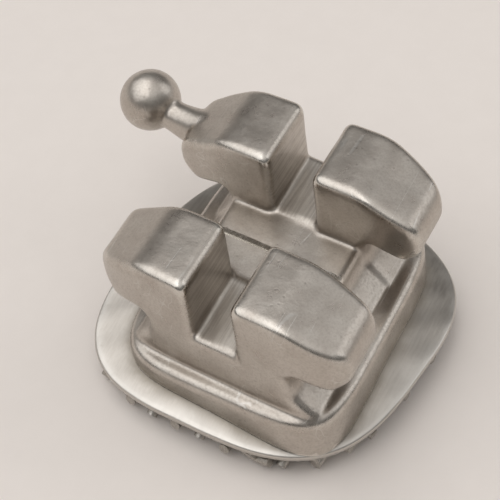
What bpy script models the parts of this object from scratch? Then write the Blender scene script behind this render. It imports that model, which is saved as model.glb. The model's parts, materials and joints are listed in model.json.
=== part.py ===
"""A low-profile twin bracket for an upper left canine, lying on its bonding pad with the slot upwards.

Three pieces are joined for good: the moulded steel body with its four tie wings and ball hook,
the thin curved foil under it, and the woven retention mesh under the foil.
The world's origin lies under the pad's middle, in the plane that its rim rests on. X runs along the
slot towards distal, Y points to the gum and Z away from the tooth. All sizes are in metres.
"""

import math

import bmesh
import bpy
from mathutils import Matrix, Vector

# Archwire slot, 0.022 by 0.028 inch
SLOT_WIDTH = 0.559e-3
SLOT_DEPTH = 0.711e-3
SLOT_MOUTH_RADIUS = 0.12e-3
TORQUE = math.radians(-7)
TIP = math.radians(8)

# Tie-wing pairs, seen along the slot: y is measured from the slot's middle, z from its floor
BODY_WIDTH = 3.12e-3
CHANNEL_WIDTH = 0.98e-3
WING_SPAN = 3.26e-3
CREST_RISE = 0.10e-3
CREST_WIDTH = 1.80e-3
WING_SHOULDER_HEIGHT = 0.48e-3
WING_TIP_HEIGHT = 0.13e-3
WING_LIP_INSET = 0.21e-3
WING_LIP_HEIGHT = -0.05e-3
UNDERCUT_HEIGHT = 0.08e-3
WAIST_WIDTH = 1.84e-3
WAIST_HEIGHT = -0.27e-3
FOOT_WIDTH = 2.46e-3
FOOT_DEPTH = 1.20e-3
FOOT_FILLET = 0.12e-3
WAIST_FILLET = 0.26e-3
UNDERCUT_FILLET = 0.14e-3
LIP_FILLET = 0.13e-3
TIP_FILLET = 0.18e-3
SHOULDER_FILLET = 0.34e-3
CREST_FILLET = 0.70e-3
WING_EDGE_RADIUS = 0.105e-3
WING_TIP_OUTER_ROUNDING = 0.26e-3
WING_TIP_INNER_ROUNDING = 0.09e-3
WING_TIP_FULLNESS = 5.0

# Bridge between the pairs, and the placing line on it
BRIDGE_RELIEF = 0.03e-3
BRIDGE_INSET = 0.04e-3
BRIDGE_FILLET = 0.22e-3
LINE_WIDTH = 0.10e-3
LINE_DEPTH = 0.05e-3

# Plinth that spreads the body over the foil
SLOT_TO_FOIL = 0.74e-3
PLINTH_HEIGHT = 0.18e-3
PLINTH_WIDTH = 3.50e-3
PLINTH_SPAN = 2.90e-3
PLINTH_NARROWING = 0.03
PLINTH_SQUARENESS = 5.0
PLINTH_EDGE_RADIUS = 0.12e-3

# Ball hook on the distogingival wing
HOOK_ROOT_DEPTH = 0.34e-3
HOOK_REACH = 0.66e-3
HOOK_RISE = 0.16e-3
HOOK_DISTAL_LEAN = 0.10e-3
HOOK_ROOT_RADIUS = 0.31e-3
HOOK_NECK_RADIUS = 0.17e-3
HOOK_BALL_RADIUS = 0.38e-3

# Bonding pad, a rounded shield curved to the tooth in both directions
PAD_WIDTH = 3.98e-3
PAD_SPAN = 3.78e-3
PAD_NARROWING = 0.07
PAD_SQUARENESS = 3.0
PAD_CURVE_ACROSS = 7.5e-3
PAD_CURVE_ALONG = 10.0e-3
FOIL_THICKNESS = 0.12e-3
WELD_FILM = 0.02e-3

# Retention mesh, 80 wires to the inch
MESH_PITCH = 0.3175e-3
MESH_WIRE_RADIUS = 0.065e-3
MESH_LAYER_STEP = 0.085e-3
MESH_RIM_MARGIN = 0.06e-3

# Fineness of the model
ARC_STEP = math.radians(16)
OUTLINE_STEPS = 60
EDGE_STEPS = 2
WING_SLICES = 14
HOOK_STEPS = 7
HOOK_SIDE_STEPS = 4
BALL_SEGMENTS = 28
BALL_RINGS = 16
SURFACE_CELL = 0.26e-3
WIRE_CELL = 0.36e-3
WIRE_SIDE_STEPS = 1
# The share of a side that one corner's fillet may use, and of a fillet that the rims' rounding may use
FILLET_SHARE = 0.48
RIM_SHARE = 0.9
# How much longer than the pad a sheet or a wire is before it is trimmed
TRIM_ALLOWANCE = 1.2
# Curves are drawn this much larger, because a curve's fill drops edges shorter than 0.03 of its unit
ENLARGEMENT = 1000.0
MERGE_DISTANCE = 1.0e-8
SLIVER_LENGTH = 5.0e-7

# Drawing planes: an outline's x, its y and its thickness run along these world axes
PLAN = Matrix.Identity(4)
SIDE_VIEW = Matrix(((0, 0, 1, 0), (1, 0, 0, 0), (0, 1, 0, 0), (0, 0, 0, 1)))
END_VIEW = Matrix(((1, 0, 0, 0), (0, 0, -1, 0), (0, 1, 0, 0), (0, 0, 0, 1)))


def new_scene():
    """Empties the scene and returns one collection for the parts and one for the cutters."""
    for old in list(bpy.data.objects):
        bpy.data.objects.remove(old, do_unlink=True)
    parts = bpy.data.collections.new("orthodontic_bracket")
    cutters = bpy.data.collections.new("cutters")
    bpy.context.scene.collection.children.link(parts)
    bpy.context.scene.collection.children.link(cutters)
    return parts, cutters


def steel(name, colour, roughness):
    """A metallic Principled material."""
    material = bpy.data.materials.new(name)
    material.use_nodes = True
    shader = material.node_tree.nodes["Principled BSDF"]
    shader.inputs["Base Color"].default_value = (*colour, 1.0)
    shader.inputs["Metallic"].default_value = 1.0
    shader.inputs["Roughness"].default_value = roughness
    return material


def moulded_steel():
    return steel("moulded_steel", (0.60, 0.59, 0.57), 0.34)


def foil_steel():
    return steel("foil_steel", (0.66, 0.65, 0.63), 0.28)


def wire_steel():
    return steel("wire_steel", (0.50, 0.49, 0.47), 0.42)


def placed(name, mesh, collection, parent=None):
    """An object for a mesh, in its collection and on its parent."""
    obj = bpy.data.objects.new(name, mesh)
    collection.objects.link(obj)
    obj.parent = parent
    return obj


def hidden(obj):
    """Marks an object as a cutter, or as a shape that another object takes in."""
    obj.hide_render = True
    obj.display_type = "WIRE"
    return obj


def frame_empty(name, collection, location, rotation):
    empty = bpy.data.objects.new(name, None)
    collection.objects.link(empty)
    empty.location = location
    empty.rotation_euler = rotation
    return empty


def boolean(target, tool, operation):
    """Adds a live Boolean to the target. This solver also holds where many fine faces nearly line up."""
    modifier = target.modifiers.new(f"{operation.lower()}_{tool.name}", "BOOLEAN")
    modifier.operation = operation
    modifier.solver = "MANIFOLD"
    modifier.object = tool


def mesh_of(obj):
    """The evaluated mesh of an object, which is then removed."""
    graph = bpy.context.evaluated_depsgraph_get()
    mesh = bpy.data.meshes.new_from_object(obj.evaluated_get(graph))
    bpy.data.objects.remove(obj, do_unlink=True)
    return mesh


def true_size(mesh, plane):
    """Welds an enlarged mesh's caps, turns it to its drawing plane and brings it back to metres."""
    work = bmesh.new()
    work.from_mesh(mesh)
    bmesh.ops.remove_doubles(work, verts=work.verts, dist=MERGE_DISTANCE * ENLARGEMENT)
    work.to_mesh(mesh)
    work.free()
    mesh.transform(Matrix.Scale(1 / ENLARGEMENT, 4))
    mesh.transform(plane)
    return mesh


def filled_outline(name, outline, thickness, plane, edge_radius=0.0):
    """A mesh of a closed outline with a thickness, its rims rounded inwards by the edge radius."""
    curve = bpy.data.curves.new(name, "CURVE")
    curve.dimensions = "2D"
    curve.fill_mode = "BOTH"
    curve.extrude = (thickness / 2 - edge_radius) * ENLARGEMENT
    curve.bevel_depth = edge_radius * ENLARGEMENT
    curve.offset = -edge_radius * ENLARGEMENT
    curve.bevel_resolution = EDGE_STEPS
    spline = curve.splines.new("POLY")
    spline.points.add(len(outline) - 1)
    for point, (x, y) in zip(spline.points, outline):
        point.co = (x * ENLARGEMENT, y * ENLARGEMENT, 0, 1)
    spline.use_cyclic_u = True
    obj = bpy.data.objects.new(name, curve)
    bpy.context.scene.collection.objects.link(obj)
    return true_size(mesh_of(obj), plane)


def round_wires(name, routes, radii, side_steps):
    """A mesh of round wires with flat ends, one along each route, with one radius or one for each point."""
    curve = bpy.data.curves.new(name, "CURVE")
    curve.dimensions = "3D"
    curve.bevel_depth = ENLARGEMENT
    curve.bevel_resolution = side_steps
    curve.use_fill_caps = True
    for route in routes:
        spline = curve.splines.new("POLY")
        spline.points.add(len(route) - 1)
        for number, (point, place) in enumerate(zip(spline.points, route)):
            point.co = (*(Vector(place) * ENLARGEMENT), 1)
            point.radius = radii[number] if len(radii) > 1 else radii[0]
    obj = bpy.data.objects.new(name, curve)
    bpy.context.scene.collection.objects.link(obj)
    return true_size(mesh_of(obj), PLAN)


def filleted(corners):
    """The points of a closed outline from its corners (x, y, radius), rounded as far as its sides allow."""
    points = []
    for number, (x, y, radius) in enumerate(corners):
        corner = Vector((x, y))
        back = Vector(corners[number - 1][:2]) - corner
        on = Vector(corners[(number + 1) % len(corners)][:2]) - corner
        if radius == 0:
            points.append(corner)
            continue
        half_angle = back.angle(on) / 2
        widest = FILLET_SHARE * min(back.length, on.length) * math.tan(half_angle)
        radius = min(radius, widest)
        start = corner + back.normalized() * radius / math.tan(half_angle)
        inwards = (back.normalized() + on.normalized()).normalized()
        centre = corner + inwards * radius / math.sin(half_angle)
        turn = math.pi - 2 * half_angle
        if back.x * on.y - back.y * on.x > 0:
            turn = -turn
        steps = max(2, round(abs(turn) / ARC_STEP))
        spoke = start - centre
        for step in range(steps + 1):
            points.append(centre + Matrix.Rotation(turn * step / steps, 2) @ spoke)
    return points


def tooth_slant(mesh):
    """Slants a body shape so that its sides follow the tooth's long axis while the slot stays on X."""
    slant = Matrix.Identity(4)
    slant[0][1] = math.tan(TIP)
    mesh.transform(slant)
    return mesh


def flared_foot(width):
    """The corners of a foot that stands in the plinth and narrows to a waist of the given width."""
    flare = (FOOT_WIDTH - WAIST_WIDTH) / 2
    return [
        (width / 2 + flare, -FOOT_DEPTH, 0),
        (width / 2 + flare, PLINTH_HEIGHT - SLOT_TO_FOIL, FOOT_FILLET),
        (width / 2, WAIST_HEIGHT, WAIST_FILLET),
    ]


def both_sides(half):
    """A closed outline from one half of its corners, mirrored about the slot's middle."""
    return filleted(half + [(-y, z, radius) for y, z, radius in reversed(half)])


def wing_outline():
    """One tie-wing pair seen along the slot, from the foot round both wings and the slot."""
    crest = SLOT_DEPTH + CREST_RISE
    return both_sides(
        flared_foot(WAIST_WIDTH)
        + [
            (WAIST_WIDTH / 2, UNDERCUT_HEIGHT, UNDERCUT_FILLET),
            (WING_SPAN / 2 - WING_LIP_INSET, WING_LIP_HEIGHT, LIP_FILLET),
            (WING_SPAN / 2, WING_TIP_HEIGHT, TIP_FILLET),
            (WING_SPAN / 2, WING_SHOULDER_HEIGHT, SHOULDER_FILLET),
            (CREST_WIDTH / 2, crest, CREST_FILLET),
            (SLOT_WIDTH / 2, crest, SLOT_MOUTH_RADIUS),
            (SLOT_WIDTH / 2, 0, 0),
        ]
    )


def slice_across(mesh, span, slices):
    """Cuts a mesh's faces on planes across Y, closer together near its ends, so that it can bend there."""
    work = bmesh.new()
    work.from_mesh(mesh)
    for number in range(1, slices):
        bmesh.ops.bisect_plane(
            work,
            geom=work.verts[:] + work.edges[:] + work.faces[:],
            plane_co=(0, span / 2 * math.sin(math.pi * (number / slices - 0.5)), 0),
            plane_no=(0, 1, 0),
            dist=MERGE_DISTANCE,
        )
    bmesh.ops.remove_doubles(work, verts=work.verts, dist=SLIVER_LENGTH)
    work.to_mesh(mesh)
    work.free()


def tie_wing_pair(name, side, collection, frame):
    """One pair of wings, mesial for side -1 and distal for side 1. Their tips are round in plan."""
    thickness = (BODY_WIDTH - CHANNEL_WIDTH) / 2
    edge = min(WING_EDGE_RADIUS, RIM_SHARE * min(SLOT_MOUTH_RADIUS, LIP_FILLET, FOOT_FILLET))
    mesh = filled_outline(name, wing_outline(), thickness, SIDE_VIEW, edge)
    slice_across(mesh, WING_SPAN, WING_SLICES)
    for vertex in mesh.vertices:
        rounding = abs(2 * vertex.co.y / WING_SPAN) ** WING_TIP_FULLNESS
        inner_side = CHANNEL_WIDTH / 2 + WING_TIP_INNER_ROUNDING * rounding
        outer_side = BODY_WIDTH / 2 - WING_TIP_OUTER_ROUNDING * rounding
        share = side * vertex.co.x / thickness + 0.5
        vertex.co.x = side * (inner_side + (outer_side - inner_side) * share)
    return hidden(placed(name, tooth_slant(mesh), collection, frame))


def bridge(collection, frame):
    """The low bar that joins the two pairs across the middle channel, a little inside their outline."""
    width = WAIST_WIDTH - 2 * BRIDGE_INSET
    outline = both_sides(flared_foot(width) + [(width / 2, -BRIDGE_RELIEF, BRIDGE_FILLET)])
    reach = (CHANNEL_WIDTH + BODY_WIDTH) / 2
    mesh = filled_outline("bridge", outline, reach, SIDE_VIEW)
    return hidden(placed("bridge", tooth_slant(mesh), collection, frame))


def placing_line(collection, frame):
    """The shallow groove along the tooth's axis, in the middle of the bridge."""
    outline = [
        (0, -BRIDGE_RELIEF - LINE_DEPTH),
        (LINE_WIDTH, -BRIDGE_RELIEF + LINE_DEPTH),
        (-LINE_WIDTH, -BRIDGE_RELIEF + LINE_DEPTH),
    ]
    mesh = filled_outline("placing_line", outline, WING_SPAN, END_VIEW)
    return hidden(placed("placing_line", tooth_slant(mesh), collection, frame))


def shield(width, span, narrowing, squareness):
    """A rounded shield in plan, a little narrower towards the tooth's biting edge."""
    points = []
    for step in range(OUTLINE_STEPS):
        angle = 2 * math.pi * step / OUTLINE_STEPS
        across, along = math.cos(angle), math.sin(angle)
        x = width / 2 * math.copysign(abs(across) ** (2 / squareness), across)
        y = span / 2 * math.copysign(abs(along) ** (2 / squareness), along)
        points.append((x * (1 + narrowing * 2 * y / span), y))
    return points


def pad_outline(margin=0.0):
    """The pad's outline, or one that lies a margin inside it."""
    return shield(PAD_WIDTH - 2 * margin, PAD_SPAN - 2 * margin, PAD_NARROWING, PAD_SQUARENESS)


def pad_punch(name, margin, collection, frame):
    """A tall block of the pad's outline, which trims a sheet to the pad."""
    mesh = filled_outline(name, pad_outline(margin), 2 * PAD_WIDTH, PLAN)
    return hidden(placed(name, mesh, collection, frame))


def plinth(name, collection, frame):
    """The low block that the wings stand on. Its underside is cut to the foil's curve."""
    outline = shield(PLINTH_WIDTH, PLINTH_SPAN, PLINTH_NARROWING, PLINTH_SQUARENESS)
    mesh = filled_outline(name, outline, FOOT_DEPTH, PLAN, PLINTH_EDGE_RADIUS)
    top = PLINTH_HEIGHT - SLOT_TO_FOIL
    mesh.transform(Matrix.Translation((0, 0, top - FOOT_DEPTH / 2)))
    return placed(name, tooth_slant(mesh), collection, frame)


def hook_route():
    """The hook's middle line, from inside the distogingival wing to the ball's centre."""
    wing_middle = (CHANNEL_WIDTH + BODY_WIDTH) / 4
    tip_y = WING_SPAN / 2
    tip_z = (WING_TIP_HEIGHT + WING_SHOULDER_HEIGHT) / 2
    root_y = tip_y - HOOK_ROOT_DEPTH
    root = Vector((wing_middle + root_y * math.tan(TIP), root_y, tip_z))
    bend = Vector((wing_middle + tip_y * math.tan(TIP), tip_y + HOOK_REACH / 3, tip_z))
    ball = Vector((bend.x + HOOK_DISTAL_LEAN, tip_y + HOOK_REACH, tip_z + HOOK_RISE))
    return [
        root * (1 - t) ** 2 + bend * 2 * t * (1 - t) + ball * t**2
        for t in (step / HOOK_STEPS for step in range(HOOK_STEPS + 1))
    ]


def hook_stem(collection, frame):
    """The tapering stem from the wing to the ball."""
    flare = HOOK_ROOT_RADIUS - HOOK_NECK_RADIUS
    radii = [HOOK_NECK_RADIUS + flare * (1 - step / HOOK_STEPS) ** 2 for step in range(HOOK_STEPS + 1)]
    mesh = round_wires("hook_stem", [hook_route()], radii, HOOK_SIDE_STEPS)
    return hidden(placed("hook_stem", mesh, collection, frame))


def hook_ball(collection, frame):
    work = bmesh.new()
    bmesh.ops.create_uvsphere(
        work, u_segments=BALL_SEGMENTS, v_segments=BALL_RINGS, radius=HOOK_BALL_RADIUS
    )
    mesh = bpy.data.meshes.new("hook_ball")
    work.to_mesh(mesh)
    work.free()
    mesh.transform(Matrix.Translation(hook_route()[-1]))
    return hidden(placed("hook_ball", mesh, collection, frame))


def sag(u, v):
    """How far the curved pad lies below its middle, at a place in the pad's own plane."""
    return u**2 / (2 * PAD_CURVE_ACROSS) + v**2 / (2 * PAD_CURVE_ALONG)


def curved_plate(name, size, top, thickness, collection, frame):
    """A square plate bent to the tooth's curve, thickened downwards from its top surface."""
    cells = round(size / SURFACE_CELL)
    work = bmesh.new()
    bmesh.ops.create_grid(work, x_segments=cells, y_segments=cells, size=size / 2)
    for vertex in work.verts:
        vertex.co.z = top - sag(vertex.co.x, vertex.co.y)
    mesh = bpy.data.meshes.new(name)
    work.to_mesh(mesh)
    work.free()
    plate = placed(name, mesh, collection, frame)
    solidify = plate.modifiers.new("thickness", "SOLIDIFY")
    solidify.thickness = thickness
    solidify.offset = -1
    return plate


def bracket_body(parts, cutters, slot_frame, pad_frame):
    """The moulded body: plinth, wings, bridge and hook in one, seated on the foil."""
    body = plinth("bracket_body", parts, slot_frame)
    for shape in (
        tie_wing_pair("mesial_pair", -1, cutters, slot_frame),
        tie_wing_pair("distal_pair", 1, cutters, slot_frame),
        bridge(cutters, slot_frame),
        hook_stem(cutters, slot_frame),
        hook_ball(cutters, slot_frame),
    ):
        boolean(body, shape, "UNION")
    boolean(body, placing_line(cutters, slot_frame), "DIFFERENCE")
    underside = curved_plate("underside", 2 * PAD_WIDTH, WELD_FILM, 2 * FOOT_DEPTH, cutters, pad_frame)
    boolean(body, hidden(underside), "DIFFERENCE")
    body.data.materials.append(moulded_steel())
    return body


def base_foil(parts, cutters, pad_frame):
    """The curved foil, cut to the pad's outline."""
    foil = curved_plate("base_foil", TRIM_ALLOWANCE * PAD_WIDTH, 0, FOIL_THICKNESS, parts, pad_frame)
    boolean(foil, pad_punch("foil_punch", 0, cutters, pad_frame), "INTERSECT")
    foil.data.materials.append(foil_steel())
    return foil


def wire_layer(name, axis, depth, collection, frame):
    """One layer of parallel wires on the pad's curve, spaced across the pad (axis 0) or along it (1)."""
    sides = (PAD_WIDTH, PAD_SPAN)
    spread = sides[axis] / 2 - MESH_RIM_MARGIN - 2 * MESH_WIRE_RADIUS
    length = TRIM_ALLOWANCE * sides[1 - axis]
    steps = round(length / WIRE_CELL)
    each_side = int(spread / MESH_PITCH + 0.5)
    routes = []
    for number in range(-each_side, each_side):
        offset = (number + 0.5) * MESH_PITCH
        route = []
        for step in range(steps + 1):
            along = length * (step / steps - 0.5)
            u, v = (offset, along) if axis == 0 else (along, offset)
            route.append((u, v, -sag(u, v) - depth))
        routes.append(route)
    mesh = round_wires(name, routes, [MESH_WIRE_RADIUS], WIRE_SIDE_STEPS)
    return placed(name, mesh, collection, frame)


def first_wire_depth():
    """How far the middle of the wires against the foil lies below the foil's top."""
    return FOIL_THICKNESS + WELD_FILM + MESH_WIRE_RADIUS


def retention_mesh(parts, cutters, pad_frame):
    """Two layers of wires pressed into each other, trimmed to the pad."""
    mesh = wire_layer("retention_mesh", 0, first_wire_depth(), parts, pad_frame)
    second = wire_layer("second_layer", 1, first_wire_depth() + MESH_LAYER_STEP, cutters, pad_frame)
    boolean(mesh, hidden(second), "UNION")
    boolean(mesh, pad_punch("mesh_punch", MESH_RIM_MARGIN, cutters, pad_frame), "INTERSECT")
    mesh.data.materials.append(wire_steel())
    return mesh


def pad_height():
    """How high the pad's middle lies when the mesh under its rim touches the floor."""
    rim_drop = max(sag(u, v) for u, v in pad_outline(MESH_RIM_MARGIN))
    return rim_drop + first_wire_depth() + MESH_LAYER_STEP + MESH_WIRE_RADIUS


def build():
    parts, cutters = new_scene()
    pad_middle = Vector((0, 0, pad_height()))
    slot_middle = pad_middle + Matrix.Rotation(TORQUE, 3, "X") @ Vector((0, 0, SLOT_TO_FOIL))
    pad_frame = frame_empty("pad_frame", parts, pad_middle, (0, 0, -TIP))
    slot_frame = frame_empty("slot_frame", parts, slot_middle, (TORQUE, 0, 0))
    bracket_body(parts, cutters, slot_frame, pad_frame)
    base_foil(parts, cutters, pad_frame)
    retention_mesh(parts, cutters, pad_frame)


build()
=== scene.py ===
# %% [markdown]
# # A low-profile twin bracket
# This lesson dresses a steel orthodontic bracket, about four millimetres wide, that lies on its bonding
# pad with the slot upwards. The imported model is loaded first, as a frame that nothing here moves.
# Each of its three pieces is then modelled again as finely as the real one is made, and takes the
# place of the plain solid.

# %% Load the frame
import json
import math

import bmesh
import bpy
import numpy as np
from mathutils import Matrix, Vector
from mathutils.bvhtree import BVHTree

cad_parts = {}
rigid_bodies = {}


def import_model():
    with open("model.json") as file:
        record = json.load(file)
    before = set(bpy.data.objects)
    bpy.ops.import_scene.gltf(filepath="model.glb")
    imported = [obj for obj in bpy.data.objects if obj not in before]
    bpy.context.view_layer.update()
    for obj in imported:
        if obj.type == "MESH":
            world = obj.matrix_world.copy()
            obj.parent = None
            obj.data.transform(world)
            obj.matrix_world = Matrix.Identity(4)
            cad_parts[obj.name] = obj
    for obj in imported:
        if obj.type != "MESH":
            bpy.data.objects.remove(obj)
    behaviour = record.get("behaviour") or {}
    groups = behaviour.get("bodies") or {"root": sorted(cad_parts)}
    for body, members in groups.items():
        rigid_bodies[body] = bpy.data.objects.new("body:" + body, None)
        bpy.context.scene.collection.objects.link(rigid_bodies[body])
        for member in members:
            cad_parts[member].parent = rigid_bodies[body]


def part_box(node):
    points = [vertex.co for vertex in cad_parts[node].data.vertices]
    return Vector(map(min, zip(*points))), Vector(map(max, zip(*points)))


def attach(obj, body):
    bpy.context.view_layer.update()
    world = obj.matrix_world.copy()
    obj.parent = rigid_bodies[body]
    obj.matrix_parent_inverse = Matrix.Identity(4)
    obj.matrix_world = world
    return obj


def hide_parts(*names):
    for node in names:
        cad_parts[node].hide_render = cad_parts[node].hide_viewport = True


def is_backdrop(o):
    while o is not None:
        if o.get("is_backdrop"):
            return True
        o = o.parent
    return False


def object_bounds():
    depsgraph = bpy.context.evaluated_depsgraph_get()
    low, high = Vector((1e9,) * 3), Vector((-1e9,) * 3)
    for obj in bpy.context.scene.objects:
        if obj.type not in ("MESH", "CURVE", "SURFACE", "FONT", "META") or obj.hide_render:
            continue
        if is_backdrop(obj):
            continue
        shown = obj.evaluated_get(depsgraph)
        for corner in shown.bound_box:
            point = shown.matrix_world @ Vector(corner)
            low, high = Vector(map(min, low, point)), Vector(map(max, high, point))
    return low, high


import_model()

cad_low, cad_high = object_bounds()
print("CAD box, mm:", [round(v * 1000, 3) for v in (*cad_low, *cad_high)])

# %% [markdown]
# ## Working size
# Blender's tools have merge and bevel limits that suit things of a metre or so. A bracket is modelled
# here in millimetres, as if one unit were a millimetre, and each finished piece is brought down to
# metres at the end. The sizes below are those of the real bracket, in millimetres and radians.

# %% Sizes of the slot, the wings and the bridge
MM = 0.001

SLOT_WIDTH = 0.559
SLOT_DEPTH = 0.711
SLOT_MOUTH_RADIUS = 0.12
TORQUE = math.radians(-7)
TIP = math.radians(8)

BODY_WIDTH = 3.12
CHANNEL_WIDTH = 0.98
WING_SPAN = 3.26
CREST_RISE = 0.10
CREST = SLOT_DEPTH + CREST_RISE
CREST_WIDTH = 1.80
WING_SHOULDER_HEIGHT = 0.48
WING_TIP_HEIGHT = 0.13
WING_LIP_INSET = 0.21
WING_LIP_HEIGHT = -0.05
UNDERCUT_HEIGHT = 0.08
WAIST_WIDTH = 1.84
WAIST_HEIGHT = -0.27
FOOT_WIDTH = 2.46
FOOT_DEPTH = 1.20
FOOT_FILLET = 0.12
WAIST_FILLET = 0.26
UNDERCUT_FILLET = 0.14
LIP_FILLET = 0.13
TIP_FILLET = 0.18
SHOULDER_FILLET = 0.34
CREST_FILLET = 0.70
WING_EDGE_RADIUS = 0.105
WING_TIP_OUTER_ROUNDING = 0.26
WING_TIP_INNER_ROUNDING = 0.09
WING_TIP_FULLNESS = 5.0

BRIDGE_TOP = -0.03
BRIDGE_INSET = 0.04
BRIDGE_FILLET = 0.22
LINE_WIDTH = 0.10
LINE_DEPTH = 0.05

# %% Sizes of the plinth, the hook and the pad
SLOT_TO_FOIL = 0.74
PLINTH_HEIGHT = 0.18
PLINTH_TOP = PLINTH_HEIGHT - SLOT_TO_FOIL
PLINTH_WIDTH = 3.50
PLINTH_SPAN = 2.90
PLINTH_NARROWING = 0.03
PLINTH_SQUARENESS = 5.0
PLINTH_EDGE_RADIUS = 0.12

HOOK_ROOT_DEPTH = 0.34
HOOK_REACH = 0.66
HOOK_RISE = 0.16
HOOK_DISTAL_LEAN = 0.10
HOOK_ROOT_RADIUS = 0.31
HOOK_NECK_RADIUS = 0.17
HOOK_BALL_RADIUS = 0.38

PAD_WIDTH = 3.98
PAD_SPAN = 3.78
PAD_NARROWING = 0.07
PAD_SQUARENESS = 3.0
PAD_CURVE_ACROSS = 7.5
PAD_CURVE_ALONG = 10.0
FOIL_THICKNESS = 0.12
WELD_FILM = 0.02

MESH_PITCH = 0.3175
MESH_WIRE_RADIUS = 0.065
MESH_LAYER_STEP = 0.085
MESH_RIM_MARGIN = 0.06

# %% [markdown]
# ## Where things are
# The pad lies turned by the tip about Z. The slot stands over the pad's middle, and its whole frame
# leans by the torque. The pad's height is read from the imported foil, whose highest point is the
# middle of its top.

# %% Frames of the pad and the slot
pad_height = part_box("base_foil")[1].z / MM
pad_frame = Matrix.Translation((0, 0, pad_height)) @ Matrix.Rotation(-TIP, 4, "Z")
slot_middle = Vector((0, 0, pad_height)) + Matrix.Rotation(TORQUE, 3, "X") @ Vector((0, 0, SLOT_TO_FOIL))
slot_frame = Matrix.Translation(slot_middle) @ Matrix.Rotation(TORQUE, 4, "X")
tooth_slant = Matrix.Identity(4)
tooth_slant[0][1] = math.tan(TIP)
print("pad height", round(pad_height, 4), "slot middle", [round(v, 4) for v in slot_middle])

# %% [markdown]
# ## A few helpers for working by hand
# Operators act on all that is selected, so each step starts by selecting one thing. In edit mode,
# vertices, edges and faces are chosen by a test on their place or normal.

# %% Selection helpers
def select_only(*objects):
    """Selects these objects and nothing else. The first is the active one."""
    bpy.ops.object.select_all(action="DESELECT")
    for obj in objects:
        obj.select_set(True)
    bpy.context.view_layer.objects.active = objects[0]


def edit(obj):
    """Opens a mesh in edit mode with all of its vertices selected."""
    select_only(obj)
    bpy.ops.object.mode_set(mode="EDIT")
    bpy.ops.mesh.select_mode(type="VERT")
    bpy.ops.mesh.select_all(action="SELECT")


def done_editing():
    bpy.ops.object.mode_set(mode="OBJECT")


def choose(obj, kind, test):
    """In edit mode, selects the verts, edges or faces that pass a test, and nothing else."""
    bpy.ops.mesh.select_mode(type={"verts": "VERT", "edges": "EDGE", "faces": "FACE"}[kind])
    bpy.ops.mesh.select_all(action="DESELECT")
    work = bmesh.from_edit_mesh(obj.data)
    for part in getattr(work, kind):
        if test(part):
            part.select_set(True)
    work.select_flush_mode()
    bmesh.update_edit_mesh(obj.data)


def outward(obj):
    edit(obj)
    bpy.ops.mesh.normals_make_consistent(inside=False)
    done_editing()


def apply_modifiers(obj):
    bpy.context.view_layer.update()
    select_only(obj)
    for modifier in list(obj.modifiers):
        bpy.ops.object.modifier_apply(modifier=modifier.name)


def subtract(obj, cutter):
    """Cuts one closed mesh with another and removes the cutter."""
    cut = obj.modifiers.new("cut", "BOOLEAN")
    cut.operation = "DIFFERENCE"
    cut.solver = "EXACT"
    cut.object = cutter
    apply_modifiers(obj)
    bpy.data.objects.remove(cutter, do_unlink=True)


def join(objects):
    """Joins several objects into the first."""
    select_only(*objects)
    bpy.ops.object.join()
    return objects[0]


def triangles(obj):
    obj.data.calc_loop_triangles()
    return len(obj.data.loop_triangles)

# %% [markdown]
# ## The wing profile
# Seen along the slot, a pair of tie wings is one outline: a flared foot, a waist, two wings that curl
# down over an undercut for the ligature, and the slot between them. Bevelled boxes would round every
# corner alike, so the outline is drawn as one would in edit mode: a single vertex is extruded from
# corner to corner, the outline is filled, and each corner gets a vertex bevel of its own radius.

# %% Round a drawn corner
CORNER_SEGMENTS = 9
FILLET_SHARE = 0.48
SAME_PLACE = 1e-4


def round_corner(obj, corners, number):
    """Rounds one drawn corner by its radius, as far as its two sides allow."""
    y, z, radius = corners[number]
    corner = Vector((y, z))
    back = Vector(corners[number - 1][:2]) - corner
    on = Vector(corners[(number + 1) % len(corners)][:2]) - corner
    wanted = radius / math.tan(back.angle(on) / 2)
    reach = min(wanted, FILLET_SHARE * min(back.length, on.length))
    place = Vector((0, y, z))
    choose(obj, "verts", lambda vertex: (vertex.co - place).length < SAME_PLACE)
    bpy.ops.mesh.bevel(
        offset=reach,
        segments=CORNER_SEGMENTS,
        affect="VERTICES",
        offset_type="OFFSET",
        clamp_overlap=False,
    )


# %% Draw an outline and give it a thickness
def draw_profile(name, corners):
    """A filled outline in the YZ plane from its corners (y, z, radius)."""
    bpy.ops.mesh.primitive_plane_add(size=1, location=(0, 0, 0))
    obj = bpy.context.object
    obj.name = name
    edit(obj)
    bpy.ops.mesh.merge(type="CENTER")
    bpy.ops.transform.translate(value=(0, corners[0][0], corners[0][1]))
    for before, after in zip(corners, corners[1:]):
        step = (0, after[0] - before[0], after[1] - before[1])
        bpy.ops.mesh.extrude_vertices_move(TRANSFORM_OT_translate={"value": step})
    bpy.ops.mesh.select_all(action="SELECT")
    bpy.ops.mesh.edge_face_add()
    for number, corner in enumerate(corners):
        if corner[2] > 0:
            round_corner(obj, corners, number)
    done_editing()
    return obj


def thicken(obj, start, thickness):
    """Extrudes a filled YZ outline along X, from a starting place."""
    edit(obj)
    bpy.ops.transform.translate(value=(start, 0, 0))
    bpy.ops.mesh.extrude_region_move(TRANSFORM_OT_translate={"value": (thickness, 0, 0)})
    done_editing()
    outward(obj)


# %% The corners of the wing outline
def flared_foot(width):
    """The corners of a foot that stands in the plinth and narrows to a waist."""
    flare = (FOOT_WIDTH - WAIST_WIDTH) / 2
    return [
        (width / 2 + flare, -FOOT_DEPTH, 0),
        (width / 2 + flare, PLINTH_TOP, FOOT_FILLET),
        (width / 2, WAIST_HEIGHT, WAIST_FILLET),
    ]


def both_sides(half):
    """A closed list of corners from one half, mirrored about the slot's middle."""
    return half + [(-y, z, radius) for y, z, radius in reversed(half)]


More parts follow.
